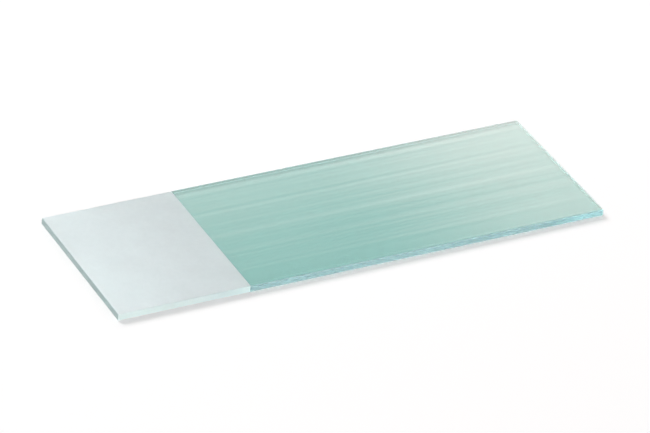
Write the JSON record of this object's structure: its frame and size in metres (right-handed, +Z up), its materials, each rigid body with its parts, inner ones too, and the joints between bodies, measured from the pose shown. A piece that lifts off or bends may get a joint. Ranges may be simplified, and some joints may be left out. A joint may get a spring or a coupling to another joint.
{
  "type": "microscope slide",
  "caption": "Flat rectangular plate of clear soda-lime glass with cut edges and one frosted end to write on.",
  "frame": {"origin": "middle of the lower face, which the slide lies on", "axes": "+X along the slide from the frosted end to the plain end, +Y across it, +Z up out of the upper face, which has the frosted band"},
  "size_m": [0.076, 0.026, 0.001],
  "materials": {
    "slide_glass": "polished clear on both large faces, frosted matt white on one end of the upper face, cut and unground on the four edges"
  },
  "bodies": {
    "root": {"glass_slide": "slide_glass"}
  },
  "joints": []
}
